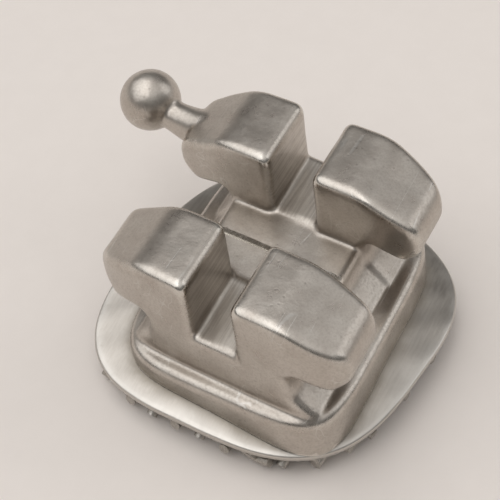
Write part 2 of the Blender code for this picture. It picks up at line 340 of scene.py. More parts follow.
wing_corners = both_sides(
    flared_foot(WAIST_WIDTH)
    + [
        (WAIST_WIDTH / 2, UNDERCUT_HEIGHT, UNDERCUT_FILLET),
        (WING_SPAN / 2 - WING_LIP_INSET, WING_LIP_HEIGHT, LIP_FILLET),
        (WING_SPAN / 2, WING_TIP_HEIGHT, TIP_FILLET),
        (WING_SPAN / 2, WING_SHOULDER_HEIGHT, SHOULDER_FILLET),
        (CREST_WIDTH / 2, CREST, CREST_FILLET),
        (SLOT_WIDTH / 2, CREST, SLOT_MOUTH_RADIUS),
        (SLOT_WIDTH / 2, 0, 0),
    ]
)
print("wing outline:", len(wing_corners), "corners")

# %% [markdown]
# ## Two pairs of wings
# The outline is extruded to a pair's thickness and its rims are bevelled, as the mould leaves them.
# Cuts across the wings, closer together near the tips, let their sides curve in there, so that each
# tip is round in plan and kind to the lip. The other pair is a mirrored copy.

# %% Thicken one pair, round its rims and slice it
RIM_SEGMENTS = 6
WING_SLICES = 40
pair_thickness = (BODY_WIDTH - CHANNEL_WIDTH) / 2
distal_pair = draw_profile("distal_pair", wing_corners)
thicken(distal_pair, CHANNEL_WIDTH / 2, pair_thickness)

edit(distal_pair)
choose(distal_pair, "faces", lambda face: abs(face.normal.x) > 0.9)
bpy.ops.mesh.region_to_loop()
bpy.ops.mesh.bevel(
    offset=WING_EDGE_RADIUS, segments=RIM_SEGMENTS, affect="EDGES", clamp_overlap=False
)
for number in range(1, WING_SLICES):
    bpy.ops.mesh.select_all(action="SELECT")
    place = WING_SPAN / 2 * math.sin(math.pi * (number / WING_SLICES - 0.5))
    bpy.ops.mesh.bisect(plane_co=(0, place, 0), plane_no=(0, 1, 0))
done_editing()

# %% Round the tips in plan and copy the pair
for vertex in distal_pair.data.vertices:
    rounding = abs(2 * vertex.co.y / WING_SPAN) ** WING_TIP_FULLNESS
    inner_side = CHANNEL_WIDTH / 2 + WING_TIP_INNER_ROUNDING * rounding
    outer_side = BODY_WIDTH / 2 - WING_TIP_OUTER_ROUNDING * rounding
    share = (vertex.co.x - CHANNEL_WIDTH / 2) / pair_thickness
    vertex.co.x = inner_side + (outer_side - inner_side) * share

select_only(distal_pair)
bpy.ops.object.duplicate()
mesial_pair = bpy.context.object
edit(mesial_pair)
bpy.ops.transform.mirror(constraint_axis=(True, False, False), center_override=(0, 0, 0))
done_editing()
outward(mesial_pair)
print("wing pair:", triangles(distal_pair), "triangles")

# %% [markdown]
# ## Bridge and plinth
# A low bridge joins the pairs across the middle channel. The plinth is a block whose sides bow out as
# the pad's do. A bevelled box has flat sides, so its outline is a circle whose vertices are pushed out
# to a squarer curve by a formula, and then extruded.

# %% Model the bridge
bridge_width = WAIST_WIDTH - 2 * BRIDGE_INSET
bridge_half = flared_foot(bridge_width) + [(bridge_width / 2, BRIDGE_TOP, BRIDGE_FILLET)]
bridge = draw_profile("bridge", both_sides(bridge_half))
bridge_length = (CHANNEL_WIDTH + BODY_WIDTH) / 2
thicken(bridge, -bridge_length / 2, bridge_length)
print("bridge:", triangles(bridge), "triangles")

# %% The pad's and the plinth's rounded form
def shield_point(angle, width, span, narrowing, squareness):
    """A point of a rounded shield in plan, a little narrower towards the biting edge."""
    across = math.cos(angle)
    along = math.sin(angle)
    x = width / 2 * math.copysign(abs(across) ** (2 / squareness), across)
    y = span / 2 * math.copysign(abs(along) ** (2 / squareness), along)
    return Vector((x * (1 + narrowing * 2 * y / span), y, 0))


def shield_ring(name, points, fill, *form):
    """A ring of vertices, or a filled disc, in the form of the shield."""
    bpy.ops.mesh.primitive_circle_add(vertices=points, radius=1, fill_type=fill)
    obj = bpy.context.object
    obj.name = name
    for vertex in obj.data.vertices:
        angle = math.atan2(vertex.co.y, vertex.co.x)
        vertex.co = shield_point(angle, *form)
    return obj


# %% Model the plinth
PLINTH_POINTS = 160
plinth_form = (PLINTH_WIDTH, PLINTH_SPAN, PLINTH_NARROWING, PLINTH_SQUARENESS)
plinth = shield_ring("plinth", PLINTH_POINTS, "NGON", *plinth_form)


def on_plinth_top(face):
    return face.normal.z > 0.9 and face.calc_center_median().z > PLINTH_TOP - PLINTH_EDGE_RADIUS


edit(plinth)
bpy.ops.transform.translate(value=(0, 0, PLINTH_TOP - FOOT_DEPTH))
bpy.ops.mesh.extrude_region_move(TRANSFORM_OT_translate={"value": (0, 0, FOOT_DEPTH)})
choose(plinth, "faces", on_plinth_top)
bpy.ops.mesh.region_to_loop()
bpy.ops.mesh.bevel(
    offset=PLINTH_EDGE_RADIUS, segments=RIM_SEGMENTS, affect="EDGES", clamp_overlap=False
)
done_editing()
outward(plinth)
print("plinth:", triangles(plinth), "triangles")

# %% [markdown]
# ## The ball hook
# The hook leaves the wing tip on the gum side, bends a little outwards and ends in a ball that holds
# an elastic. Cones set end to end would show their joins, so its stem is a bezier curve whose bevel
# flares into the wing. The body is slanted later on to follow the tooth, so the hook is slanted the
# other way first, and its ball stays round.

# %% Where the hook starts, bends and ends
wing_middle = (CHANNEL_WIDTH + BODY_WIDTH) / 4
tip_y = WING_SPAN / 2
tip_z = (WING_TIP_HEIGHT + WING_SHOULDER_HEIGHT) / 2
root_y = tip_y - HOOK_ROOT_DEPTH
hook_root = Vector((wing_middle + root_y * math.tan(TIP), root_y, tip_z))
hook_bend = Vector((wing_middle + tip_y * math.tan(TIP), tip_y + HOOK_REACH / 3, tip_z))
hook_end = Vector((hook_bend.x + HOOK_DISTAL_LEAN, tip_y + HOOK_REACH, tip_z + HOOK_RISE))

# %% Bend the hook's middle line
bpy.ops.curve.primitive_bezier_curve_add(location=(0, 0, 0))
hook = bpy.context.object
hook.name = "hook"
start, end = hook.data.splines[0].bezier_points
for point in (start, end):
    point.handle_left_type = "FREE"
    point.handle_right_type = "FREE"
start.co = hook_root
start.handle_left = hook_root
start.handle_right = hook_root.lerp(hook_bend, 2 / 3)
end.co = hook_end
end.handle_left = hook_end.lerp(hook_bend, 2 / 3)
end.handle_right = hook_end

# %% Flare the stem and set the ball on it
HOOK_CUTS = 9
BALL_SEGMENTS = 64
BALL_RINGS = 40
select_only(hook)
bpy.ops.object.mode_set(mode="EDIT")
bpy.ops.curve.select_all(action="SELECT")
bpy.ops.curve.subdivide(number_cuts=HOOK_CUTS)
bpy.ops.object.mode_set(mode="OBJECT")
for number, point in enumerate(hook.data.splines[0].bezier_points):
    left = 1 - number / (HOOK_CUTS + 1)
    point.radius = HOOK_NECK_RADIUS + (HOOK_ROOT_RADIUS - HOOK_NECK_RADIUS) * left**2
hook.data.bevel_depth = 1
hook.data.bevel_resolution = 8
hook.data.resolution_u = 6
hook.data.use_fill_caps = True
select_only(hook)
bpy.ops.object.convert(target="MESH")
edit(hook)
bpy.ops.mesh.remove_doubles(threshold=1e-5)
done_editing()

bpy.ops.mesh.primitive_uv_sphere_add(
    segments=BALL_SEGMENTS, ring_count=BALL_RINGS, radius=HOOK_BALL_RADIUS, location=hook_end
)
ball = bpy.context.object
select_only(ball)
bpy.ops.object.transform_apply(location=True, rotation=True, scale=True)
hook = join([hook, ball])
hook.data.transform(tooth_slant.inverted())
print("hook ball's middle above the slot floor, mm:", round(hook_end.z, 3))

# %% [markdown]
# ## One moulded body
# A boolean union would leave sharp joins. The pieces are given one skin by a voxel remesh instead,
# which fuses the overlaps as the mould does, and a few rounds of smoothing leave the small fillets of a
# moulded and tumbled part. The grid is in line with the slot here, so its walls stay true. Slant and
# lean come afterwards.

# %% Fuse and smooth the body
VOXEL = 0.022
SMOOTHING_ROUNDS = 12
body = join([plinth, distal_pair, mesial_pair, bridge, hook])
body.name = "moulded_body"
skin = body.modifiers.new("skin", "REMESH")
skin.mode = "VOXEL"
skin.voxel_size = VOXEL
soften = body.modifiers.new("soften", "SMOOTH")
soften.factor = 0.5
soften.iterations = SMOOTHING_ROUNDS
apply_modifiers(body)
print("fused body:", triangles(body), "triangles")

# %% [markdown]
# Tumbling leaves broad faces very slightly uneven, which breaks up a reflection that would look
# computer-perfect. A soft cloud texture moves the skin by a few thousandths of a millimetre. Its middle
# level is set high, so the skin mostly moves inwards, as tumbling wears it.

# %% Tumbled unevenness
PATCH_SIZE = 0.55
UNEVENNESS = 0.012
clouds = bpy.data.textures.new("tumbled_faces", "CLOUDS")
clouds.noise_scale = PATCH_SIZE
clouds.noise_depth = 1
uneven = body.modifiers.new("uneven", "DISPLACE")
uneven.texture = clouds
uneven.texture_coords = "LOCAL"
uneven.strength = UNEVENNESS
uneven.mid_level = 0.75
apply_modifiers(body)
print("highest point of the body, mm:", round(max(v.co.z for v in body.data.vertices), 3))

# %% [markdown]
# ## The placing line, the slant and the seat
# A fine V groove along the tooth's axis helps to place the bracket. It is cut last, so it stays crisp.
# Then the body is slanted by the tip, leaned by the torque, and its underside is cut to the curve of
# the foil, with the thin film of weld between them.

# %% Cut the placing line and bring the body to its place
line_corners = [
    (0, BRIDGE_TOP - LINE_DEPTH, 0),
    (LINE_WIDTH, BRIDGE_TOP + LINE_DEPTH, 0),
    (-LINE_WIDTH, BRIDGE_TOP + LINE_DEPTH, 0),
]
placing_line = draw_profile("placing_line", line_corners)
thicken(placing_line, -WING_SPAN / 2, WING_SPAN)
edit(placing_line)
bpy.ops.transform.rotate(value=math.pi / 2, orient_axis="Z", center_override=(0, 0, 0))
done_editing()
subtract(body, placing_line)
body.data.transform(slot_frame @ tooth_slant)

# %% Seat the body on the foil's curve
def sag(u, v):
    """How far the curved pad lies below its middle."""
    return u**2 / (2 * PAD_CURVE_ACROSS) + v**2 / (2 * PAD_CURVE_ALONG)


SEAT_CELLS = 60
bpy.ops.mesh.primitive_grid_add(
    x_subdivisions=SEAT_CELLS, y_subdivisions=SEAT_CELLS, size=2 * PAD_WIDTH
)
seat = bpy.context.object
for vertex in seat.data.vertices:
    vertex.co.z = WELD_FILM - sag(vertex.co.x, vertex.co.y)
seat.data.transform(pad_frame)
edit(seat)
bpy.ops.mesh.extrude_region_move(TRANSFORM_OT_translate={"value": (0, 0, -2 * FOOT_DEPTH)})
done_editing()
outward(seat)
subtract(body, seat)
print("seated body:", triangles(body), "triangles")

# %% [markdown]
# ## The foil
# The foil is a thin sheet, punched to a rounded shield and pressed to the tooth's curve. A filled disc
# has no vertices inside to bend, so a ring is extruded inwards, ring after ring, and closed at the
# middle. A formula bends it, Solidify gives the thickness, and a small bevel rolls the punched rim.

# %% Draw the foil's rings and bend it
FOIL_RINGS = 26
FOIL_POINTS = 200
pad_form = (PAD_WIDTH, PAD_SPAN, PAD_NARROWING, PAD_SQUARENESS)
foil = shield_ring("pad_foil", FOIL_POINTS, "NOTHING", *pad_form)
edit(foil)
for ring in range(FOIL_RINGS, 1, -1):
    share = (ring - 1) / ring
    bpy.ops.mesh.extrude_edges_move()
    bpy.ops.transform.resize(value=(share, share, share), center_override=(0, 0, 0))
bpy.ops.mesh.extrude_edges_move()
bpy.ops.mesh.merge(type="CENTER")
done_editing()
for vertex in foil.data.vertices:
    vertex.co.z = -sag(vertex.co.x, vertex.co.y)
outward(foil)
if foil.data.polygons[0].normal.z < 0:
    foil.data.flip_normals()

# %% Give the foil its thickness and its rolled rim
ROLLED_RIM = 0.035
sheet_gauge = foil.modifiers.new("gauge", "SOLIDIFY")
sheet_gauge.thickness = FOIL_THICKNESS
sheet_gauge.offset = -1
rolled_rim = foil.modifiers.new("rolled_rim", "BEVEL")
rolled_rim.width = ROLLED_RIM
rolled_rim.segments = 4
rolled_rim.limit_method = "ANGLE"
rolled_rim.angle_limit = math.radians(50)
apply_modifiers(foil)
foil.data.transform(pad_frame)
print("foil:", triangles(foil), "triangles")

# %% [markdown]
# ## The retention mesh
# Under the foil lies a cloth of fine wires that the bonding resin flows into. A picture of a weave
# has no holes, so each wire is a curve whose height swings by half a layer at every crossing, and it
# really goes over and under its neighbours. It stops where it meets the outline of the pad.

# %% Where a wire meets the pad's outline
HALVINGS = 30
TRIM_ALLOWANCE = 1.2


def outline_reach(offset, axis, direction):
    """How far a wire at an offset runs from the pad's middle line to its outline."""
    half_width = PAD_WIDTH / 2 - MESH_RIM_MARGIN
    half_span = PAD_SPAN / 2 - MESH_RIM_MARGIN

    def outside(reach):
        u, v = (offset, direction * reach) if axis == 0 else (direction * reach, offset)
        width_here = half_width * (1 + PAD_NARROWING * v / half_span)
        across = abs(u / width_here) ** PAD_SQUARENESS
        along = abs(v / half_span) ** PAD_SQUARENESS
        return across + along > 1

    near, far = 0.0, TRIM_ALLOWANCE * max(half_width, half_span)
    for _ in range(HALVINGS):
        middle = (near + far) / 2
        if outside(middle):
            far = middle
        else:
            near = middle
    return near


# %% The swinging route of each wire
POINTS_A_PITCH = 8
first_depth = FOIL_THICKNESS + WELD_FILM + MESH_WIRE_RADIUS
middle_depth = first_depth + MESH_LAYER_STEP / 2


def wire_points(number, axis):
    """The points of one woven wire in the pad's own frame."""
    offset = (number + 0.5) * MESH_PITCH
    start = -outline_reach(offset, axis, -1)
    end = outline_reach(offset, axis, 1)
    steps = round((end - start) / MESH_PITCH * POINTS_A_PITCH)
    points = []
    for step in range(steps + 1):
        along = start + (end - start) * step / steps
        swing = math.sin(math.pi * along / MESH_PITCH) * (-1) ** (number + axis)
        u, v = (offset, along) if axis == 0 else (along, offset)
        points.append(Vector((u, v, -sag(u, v) - middle_depth + swing * MESH_LAYER_STEP / 2)))
    return points


def wire_numbers(axis):
    half = (PAD_WIDTH, PAD_SPAN)[axis] / 2
    each_side = int((half - MESH_RIM_MARGIN - 2 * MESH_WIRE_RADIUS) / MESH_PITCH + 0.5)
    return range(-each_side, each_side)


# %% Weave the wires
bpy.ops.curve.primitive_bezier_curve_add(location=(0, 0, 0))
cloth = bpy.context.object
cloth.name = "woven_mesh"
cloth.data.splines.clear()
for axis in (0, 1):
    for number in wire_numbers(axis):
        points = wire_points(number, axis)
        spline = cloth.data.splines.new("POLY")
        spline.points.add(len(points) - 1)
        for point, place in zip(spline.points, points):
            point.co = (*place, 1)
cloth.data.bevel_depth = MESH_WIRE_RADIUS
cloth.data.bevel_resolution = 4
cloth.data.use_fill_caps = True
select_only(cloth)
bpy.ops.object.convert(target="MESH")
edit(cloth)
bpy.ops.mesh.remove_doubles(threshold=1e-4)
done_editing()
outward(cloth)
cloth.data.transform(pad_frame)
print("woven mesh:", triangles(cloth), "triangles")

# %% [markdown]
# ## From millimetres to metres
# Each piece is scaled down with its place in its mesh, shaded smooth except at true creases and put
# in the frame's body, and the plain solid that it replaces is hidden.

# %% Bring the pieces to real size and put them in the frame
CREASE = math.radians(38)
for piece, node, slot in (
    (body, "bracket_body", "moulded_steel"),
    (foil, "base_foil", "foil_steel"),
    (cloth, "retention_mesh", "wire_steel"),
):
    piece.data.transform(Matrix.Scale(MM, 4))
    piece.data.materials.clear()
    select_only(piece)
    bpy.ops.object.shade_smooth_by_angle(angle=CREASE)
    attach(piece, "root")
    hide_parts(node)

# %% [markdown]
# ## Wear and shade, kept in the mesh
# Tumbling polishes what stands out and hardly reaches the recesses. A painted mask could say where, but
# it would be an image. Numbers stored at the vertices do the same, and they ride with the mesh: how
# much the skin bulges, where the slot is ground, and how much of the sky the bracket shuts off. The
# last of them also paints shade into the steels' colours.

# %% Read, average and store numbers at the vertices
def spread(mesh, values, rounds):
    """Averages a value at each vertex with its neighbours' several times over."""
    ends = np.empty(len(mesh.edges) * 2, np.int64)
    mesh.edges.foreach_get("vertices", ends)
    a, b = ends[0::2], ends[1::2]
    count = len(mesh.vertices)
    near = np.bincount(a, minlength=count) + np.bincount(b, minlength=count)
    for _ in range(rounds):
        total = np.bincount(a, values[b], minlength=count)
        total += np.bincount(b, values[a], minlength=count)
        values = 0.5 * values + 0.5 * total / np.maximum(near, 1)
    return values


def corner_coordinates(mesh):
    """The places and the normals of a mesh's vertices as two arrays."""
    places = np.empty(len(mesh.vertices) * 3)
    mesh.vertices.foreach_get("co", places)
    normals = np.empty(len(mesh.vertices) * 3)
    mesh.vertex_normals.foreach_get("vector", normals)
    return places.reshape(-1, 3), normals.reshape(-1, 3)


def store(piece, name, values):
    """Keeps one number at each vertex, as an attribute that a material can read."""
    attribute = piece.data.attributes.new(name, "FLOAT", "POINT")
    attribute.data.foreach_set("value", values.astype(np.float32))
    print(piece.name, name, "mean", round(float(values.mean()), 3))


# %% [markdown]
# Bulge: the places are averaged until the shape is soft. What stands above that soft copy is an edge or
# a crest, which the tumbling stones rub first.

# %% How far each place stands out
BULGE_ROUNDS = 14
SOFTENING_ROUNDS = 6
FULL_BULGE = 0.012 * MM


def store_bulge(piece):
    """Compares each vertex with a smoothed copy of the skin."""
    mesh = piece.data
    places, normals = corner_coordinates(mesh)
    smooth = np.stack([spread(mesh, places[:, k], BULGE_ROUNDS) for k in range(3)], axis=1)
    height = np.einsum("ij,ij->i", places - smooth, normals) / FULL_BULGE
    store(piece, "bulge", np.clip(spread(mesh, height, SOFTENING_ROUNDS), -1, 1))


# %% [markdown]
# Ground: the slot is cut to its exact width after moulding. Its walls and floor are found by their
# place in the slot's own frame.

# %% Where the slot is ground
WALL_REACH = 0.03
FLOOR_REACH = 0.02


def store_ground(piece):
    """Marks the walls and the floor of the slot."""
    places, _ = corner_coordinates(piece.data)
    turn = np.array((Matrix.Scale(MM, 4) @ slot_frame).inverted())
    local = places @ turn[:3, :3].T + turn[:3, 3]
    inside = np.abs(local[:, 1]) < SLOT_WIDTH / 2 + WALL_REACH
    inside &= local[:, 2] > -FLOOR_REACH
    inside &= local[:, 2] < CREST - SLOT_MOUTH_RADIUS
    store(piece, "ground", spread(piece.data, inside.astype(float), 2))


# %% [markdown]
# Shade: a fan of rays leaves each vertex, spread evenly over its sky by the golden angle. The nearer
# the steel that a ray meets, the more it counts.

# %% How shut in each place is
SKY_RAYS = 20
SKY_REACH = 1.6 * MM
SKIN_CLEARANCE = 0.01 * MM


def store_shade(piece, obstacles):
    """Sends rays outwards from each vertex and counts those that the bracket stops."""
    places, normals = corner_coordinates(piece.data)
    golden = math.pi * (3 - math.sqrt(5))
    rays = []
    for k in range(SKY_RAYS):
        height = math.sqrt((k + 0.5) / SKY_RAYS)
        flat = math.sqrt(1 - height * height)
        rays.append((flat * math.cos(golden * k), flat * math.sin(golden * k), height))
    shut = np.zeros(len(places))
    for n, (place, normal) in enumerate(zip(places, normals)):
        normal = Vector(normal)
        start = Vector(place) + normal * SKIN_CLEARANCE
        turn = Vector((0, 0, 1)).rotation_difference(normal)
        for ray in rays:
            hit = obstacles.ray_cast(start, turn @ Vector(ray), SKY_REACH)
            if hit[0] is not None:
                shut[n] += 1 - hit[3] / SKY_REACH
    store(piece, "shade", spread(piece.data, shut / SKY_RAYS, 3))


def obstacle_tree(pieces):
    """One search tree of the triangles of several pieces."""
    points = []
    faces = []
    for piece in pieces:
        base = len(points)
        points += [vertex.co.copy() for vertex in piece.data.vertices]
        faces += [[base + v for v in polygon.vertices] for polygon in piece.data.polygons]
    return BVHTree.FromPolygons(points, faces)


# %% Store the numbers on the pieces
store_ground(body)
everything = obstacle_tree([body, foil])
for piece in (body, foil, cloth):
    store_bulge(piece)
    store_shade(piece, everything)

# %% [markdown]
# ## Shader groups
# Three steels share the same few effects, so each effect is a node group with named sockets, built
# once: the grain of sintered or blasted metal, the wear that tumbling leaves with painted shade in the
# recesses, the fine lines of rolling and grinding, and the odd hairline scratch. They read object
# coordinates in metres, so a scale of 1000 is one cell in a millimetre.

# %% Node helpers
def add(tree, kind, **settings):
    """Adds a node. A setting that names a socket fills or feeds it. Any other is the node's own."""
    made = tree.nodes.new(kind)
    for name, value in settings.items():
        socket = made.inputs.get(name.replace("_", " ").title())
        if socket is None:
            setattr(made, name, value)
        elif isinstance(value, bpy.types.NodeSocket):
            tree.links.new(value, socket)
        else:
            socket.default_value = value
    return made


def maths(tree, operation, first, second=None, third=None):
    """A Math node fed by sockets or plain numbers. It returns its output socket."""
    made = add(tree, "ShaderNodeMath", operation=operation)
    for number, value in enumerate((first, second, third)):
        if isinstance(value, bpy.types.NodeSocket):
            tree.links.new(value, made.inputs[number])
        elif value is not None:
            made.inputs[number].default_value = value
    return made.outputs[0]


def step_up(tree, value, low, high):
    """A smooth step from 0 at low to 1 at high."""
    made = add(tree, "ShaderNodeMapRange", value=value, from_min=low, from_max=high)
    made.interpolation_type = "SMOOTHSTEP"
    return made.outputs["Result"]


# %% Group helpers
FLOAT = "NodeSocketFloat"
VECTOR = "NodeSocketVector"


def new_group(name, inputs, outputs):
    """An empty shader group with named sockets. It returns the group and its two end nodes."""
    group = bpy.data.node_groups.new(name, "ShaderNodeTree")
    for socket, kind, value in inputs:
        made = group.interface.new_socket(socket, in_out="INPUT", socket_type=kind)
        if value is not None:
            made.default_value = value
    for socket in outputs:
        group.interface.new_socket(socket, in_out="OUTPUT", socket_type=FLOAT)
    return group, group.nodes.new("NodeGroupInput"), group.nodes.new("NodeGroupOutput")


def give(group, result, **values):
    """Feeds the group's own outputs and prints what it made."""
    for name, value in values.items():
        group.links.new(value, result.inputs[name.title()])
    print(group.name, "gives", ", ".join(values))


def use_group(tree, group, **values):
    return add(tree, "ShaderNodeGroup", node_tree=group, **values)


# %% [markdown]
# Grain: a fine noise for the satin, with flecks at its peaks, and scattered round pits where powder
# grains or grit left a dimple. Pits are the cells of a Voronoi texture whose own random value is low.

# %% Grain group
def make_grain():
    group, given, result = new_group(
        "satin_grain",
        [("Vector", VECTOR, None), ("Scale", FLOAT, 30000.0), ("Pit Share", FLOAT, 0.3)],
        ["Height", "Pits", "Fleck"],
    )
    place = given.outputs["Vector"]
    scale = given.outputs["Scale"]
    fine = add(group, "ShaderNodeTexNoise", vector=place, scale=scale, detail=3.0, roughness=0.6)
    half = maths(group, "MULTIPLY", scale, 0.5)
    cells = add(group, "ShaderNodeTexVoronoi", feature="F1", vector=place, scale=half)
    dimple = maths(group, "SUBTRACT", 1.0, step_up(group, cells.outputs["Distance"], 0.08, 0.40))
    lot = add(group, "ShaderNodeSeparateColor", color=cells.outputs["Color"])
    pitted = maths(group, "LESS_THAN", lot.outputs["Red"], given.outputs["Pit Share"])
    pits = maths(group, "MULTIPLY", dimple, pitted)
    height = maths(group, "MULTIPLY_ADD", pits, -0.6, fine.outputs["Fac"])
    fleck = step_up(group, fine.outputs["Fac"], 0.42, 0.66)
    give(group, result, height=height, pits=pits, fleck=fleck)
    return group


satin_grain = make_grain()

# %% [markdown]
# Peel: under the grain, a moulded and sintered face is very slightly wavy, like the skin of an orange,
# and its tone drifts in soft clouds a few tenths of a millimetre across. Two broader noises make them.

# %% Peel group
def make_peel():
    group, given, result = new_group(
        "sintered_peel", [("Vector", VECTOR, None), ("Scale", FLOAT, 9000.0)], ["Height", "Clouds"]
    )
    place = given.outputs["Vector"]
    scale = given.outputs["Scale"]
    waves = add(group, "ShaderNodeTexNoise", vector=place, scale=scale, detail=1.5, roughness=0.5)
    broad = maths(group, "MULTIPLY", scale, 0.35)
    drift = add(group, "ShaderNodeTexNoise", vector=place, scale=broad, detail=4.0, roughness=0.62)
    clouds = step_up(group, drift.outputs["Fac"], 0.32, 0.68)
    give(group, result, height=waves.outputs["Fac"], clouds=clouds)
    return group


sintered_peel = make_peel()

# %% [markdown]
# Wear and shade: what stands out is polished by the tumbling stones. What lies shut in is rougher, and
# the same mask paints shade there, as a darker colour. The two stored numbers are broken up by a
# noise, so that neither has a drawn edge.

# %% Wear and painted shade group
def make_wear_and_shade():
    group, given, result = new_group(
        "tumbled_wear_and_shade",
        [("Vector", VECTOR, None), ("Bulge", FLOAT, 0.0), ("Shade", FLOAT, 0.0)],
        ["Polish", "Dullness"],
    )
    place = given.outputs["Vector"]
    patchy = add(group, "ShaderNodeTexNoise", vector=place, scale=5200.0, detail=3.0, roughness=0.6)
    patch = maths(group, "SUBTRACT", patchy.outputs["Fac"], 0.5)
    out = maths(group, "MULTIPLY_ADD", patch, 0.5, given.outputs["Bulge"])
    shut = maths(group, "MULTIPLY_ADD", patch, 0.35, given.outputs["Shade"])
    polish = step_up(group, out, 0.22, 0.75)
    # The shut-in mask: roughness, and painted shade in the colour.
    dullness = step_up(group, shut, 0.10, 0.62)
    give(group, result, polish=polish, dullness=dullness)
    return group


tumbled_wear_and_shade = make_wear_and_shade()

# %% [markdown]
# Lines: rolling and grinding leave very fine parallel lines. A wave texture would space them evenly,
# so a noise is squeezed hard across the direction of work and stretched along it.

# %% Lines group
def make_lines():
    group, given, result = new_group(
        "work_lines",
        [("Vector", VECTOR, None), ("Stretch", VECTOR, (2500.0, 60000.0, 60000.0))],
        ["Height", "Tone"],
    )
    stretched = add(group, "ShaderNodeVectorMath", operation="MULTIPLY")
    group.links.new(given.outputs["Vector"], stretched.inputs[0])
    group.links.new(given.outputs["Stretch"], stretched.inputs[1])
    place = stretched.outputs["Vector"]
    streaks = add(group, "ShaderNodeTexNoise", vector=place, scale=1.0, detail=2.0, roughness=0.55)
    tone = step_up(group, streaks.outputs["Fac"], 0.35, 0.65)
    give(group, result, height=streaks.outputs["Fac"], tone=tone)
    return group


work_lines = make_lines()

# %% [markdown]
# Hairlines: a few thin scratches from handling with tweezers. Each set is a stretched noise of which
# only the narrow band round its middle value is kept.

# %% Hairlines group
def make_hairlines():
    group, given, result = new_group("hairlines", [("Vector", VECTOR, None)], ["Scratches"])
    place = given.outputs["Vector"]
    sets = []
    for turn, squeeze in ((0.5, 4200.0), (-0.9, 3400.0)):
        spun = add(group, "ShaderNodeMapping", vector=place, rotation=(0.4 * turn, 0.3, turn))
        spun.inputs["Scale"].default_value = (squeeze * 0.07, squeeze, squeeze)
        noise = add(group, "ShaderNodeTexNoise", vector=spun.outputs["Vector"], scale=1.0, detail=0.0)
        off_middle = maths(group, "ABSOLUTE", maths(group, "SUBTRACT", noise.outputs["Fac"], 0.5))
        sets.append(maths(group, "SUBTRACT", 1.0, step_up(group, off_middle, 0.002, 0.012)))
    breaks = add(group, "ShaderNodeTexNoise", vector=place, scale=1900.0, detail=1.0)
    some = step_up(group, breaks.outputs["Fac"], 0.54, 0.62)
    both = maths(group, "MAXIMUM", sets[0], sets[1])
    give(group, result, scratches=maths(group, "MULTIPLY", both, some))
    return group


hairlines = make_hairlines()

# %% [markdown]
# ## The three finishes
# Steel is metallic all over, so its look is in its roughness, its tone and its fine relief. Each
# material lays one tone over another through Mix nodes, each by its own mask, and one Bump node turns
# all the relief into a normal.

# %% Shared ends of a steel material
def start_material(name):
    """A metallic material. It returns the material, its tree and the object coordinates."""
    material = bpy.data.materials.new(name)
    material.use_nodes = True
    tree = material.node_tree
    tree.nodes["Principled BSDF"].inputs["Metallic"].default_value = 1.0
    return material, tree, add(tree, "ShaderNodeTexCoord").outputs["Object"]


def finish_material(tree, colour, roughness, height, relief):
    """Feeds the shader. Relief is the depth in metres that a height of one stands for."""
    bump = add(tree, "ShaderNodeBump", strength=1.0, distance=relief, height=height)
    shader = tree.nodes["Principled BSDF"]
    tree.links.new(colour, shader.inputs["Base Color"])
    tree.links.new(roughness, shader.inputs["Roughness"])
    tree.links.new(bump.outputs["Normal"], shader.inputs["Normal"])


# %% Masks, tones and shares
def stored(tree, name):
    """A number that was stored at the vertices."""
    return add(tree, "ShaderNodeAttribute", attribute_name=name).outputs["Fac"]


def use_wear_and_shade(tree, place):
    """The wear and painted shade group, fed with the numbers stored in the mesh."""
    bulge = stored(tree, "bulge")
    return use_group(tree, tumbled_wear_and_shade, vector=place, bulge=bulge, shade=stored(tree, "shade"))


def blend(tree, mask, first, second, share=1.0):
    """Mixes two colours by a share of a mask. A colour is a socket or three plain numbers."""
    if share < 1.0:
        mask = maths(tree, "MULTIPLY", mask, share)
    made = add(tree, "ShaderNodeMix", data_type="RGBA", factor=mask)
    for number, value in ((6, first), (7, second)):
        if isinstance(value, bpy.types.NodeSocket):
            tree.links.new(value, made.inputs[number])
        else:
            made.inputs[number].default_value = (*value, 1.0)
    return made.outputs[2]


def add_share(tree, value, mask, share):
    """Adds a share of a mask to a value."""
    return maths(tree, "MULTIPLY_ADD", mask, share, value)


# %% [markdown]
# The moulded body: sintered steel, tumbled to a soft satin. Edges and crests are brighter and
# smoother. Recesses are rougher, and painted shade darkens them where the bracket shuts off their sky.
# A few pits and hairlines catch the light. The slot is ground to size after moulding, so its walls and
# its floor carry fine lines along it and no grain.

# %% Tones of the moulded steel
SATIN_DARK = (0.475, 0.43, 0.385)
SATIN_LIGHT = (0.55, 0.508, 0.46)
FLECK = (0.36, 0.32, 0.28)
# The recess tone is painted shade, laid where the bracket shuts off the sky.
RECESS_SHADE = (0.28, 0.24, 0.20)
PIT = (0.27, 0.24, 0.21)
SCRATCH = (0.62, 0.595, 0.56)
POLISHED = (0.64, 0.605, 0.555)
GROUND_DARK = (0.42, 0.38, 0.34)
GROUND_LIGHT = (0.58, 0.54, 0.49)
MEAN_HEIGHT = 1.3
MOULDED_RELIEF = 1.1e-6

